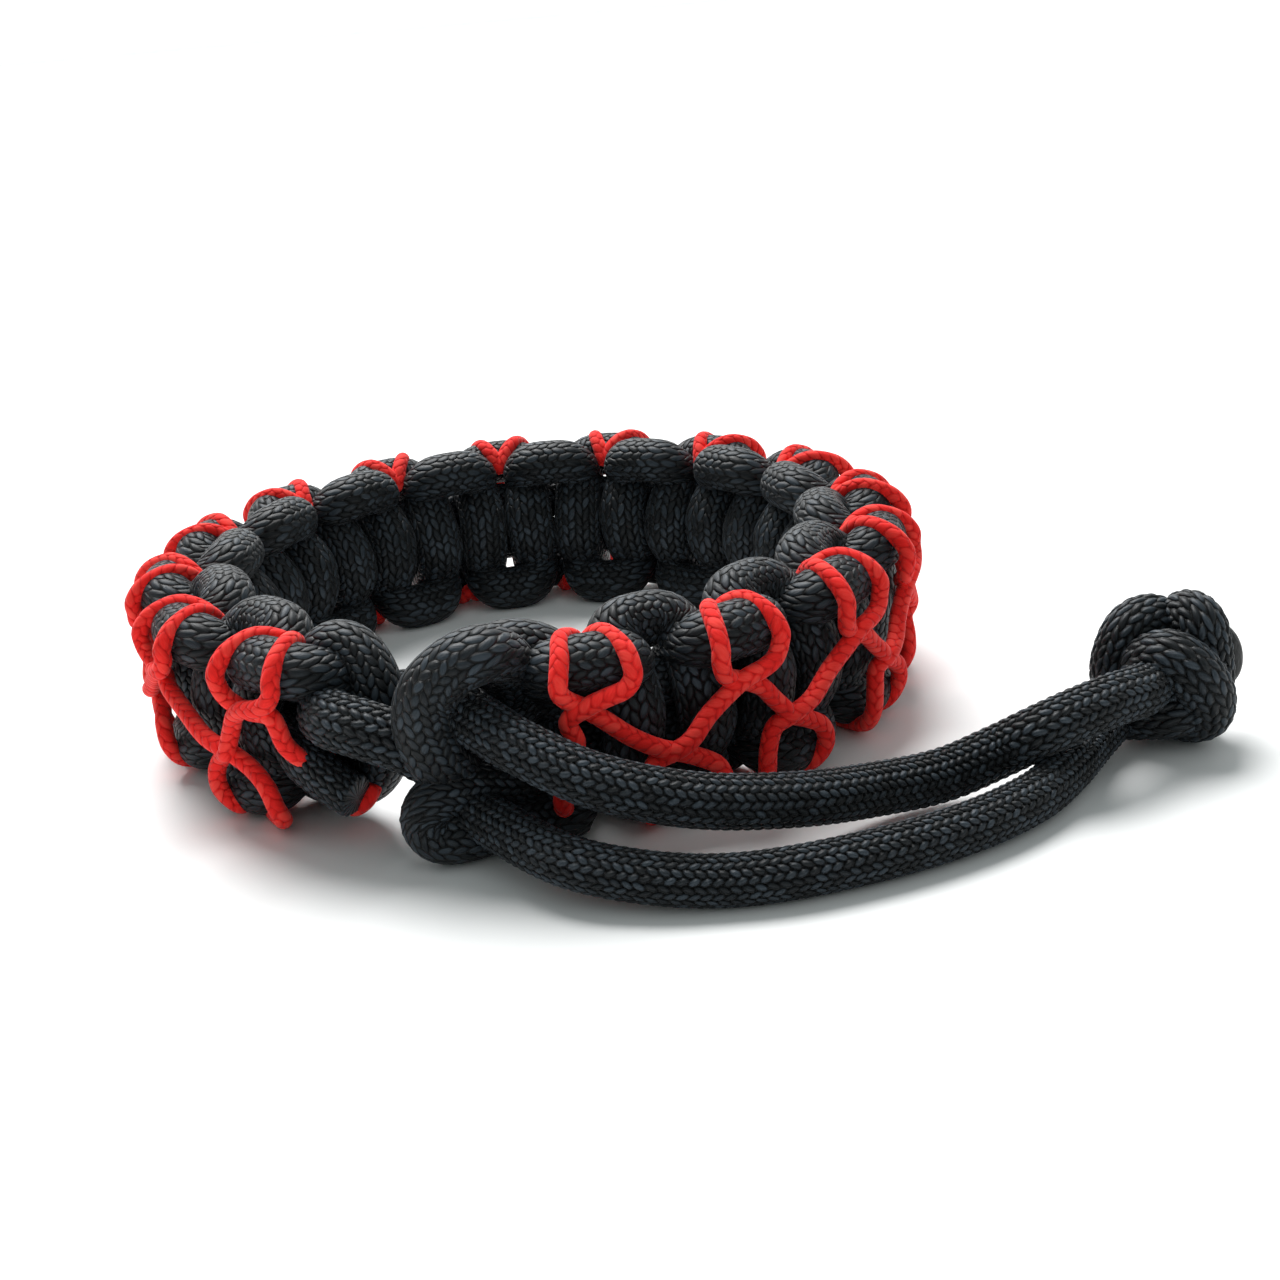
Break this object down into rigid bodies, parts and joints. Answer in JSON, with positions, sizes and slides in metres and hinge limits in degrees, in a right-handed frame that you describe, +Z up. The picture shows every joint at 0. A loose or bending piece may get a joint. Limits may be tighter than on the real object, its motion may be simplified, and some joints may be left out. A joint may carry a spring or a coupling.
{
  "type": "paracord bracelet",
  "caption": "Adjustable bracelet of knotted cord with red lacing, an open loop standing on its edge, closed by a drawcord whose two tails end in a stopper knot.",
  "frame": {"origin": "on the surface that the bracelet stands on, under the middle of the loop's box without its tails", "axes": "+Z is up, along the wrist; -Y is the closure's side, towards the viewer; +X is the right, where the tails end"},
  "size_m": [0.0868, 0.0768, 0.016],
  "materials": {
    "black_cord": "braided nylon sheath, matt with a faint sheen",
    "red_cord": "thin twisted lacing cord, matt red",
    "melted_cord": "melted nylon, smooth and a little shiny"
  },
  "bodies": {
    "root": {"woven_band": "black_cord", "end_loop": "black_cord", "cut_end": "black_cord", "upper_shoulder": "black_cord", "lower_shoulder": "black_cord", "draw_link": "black_cord", "upper_tail": "black_cord", "lower_tail": "black_cord", "stopper_knot": "black_cord", "melted_end": "melted_cord"}
  },
  "joints": []
}
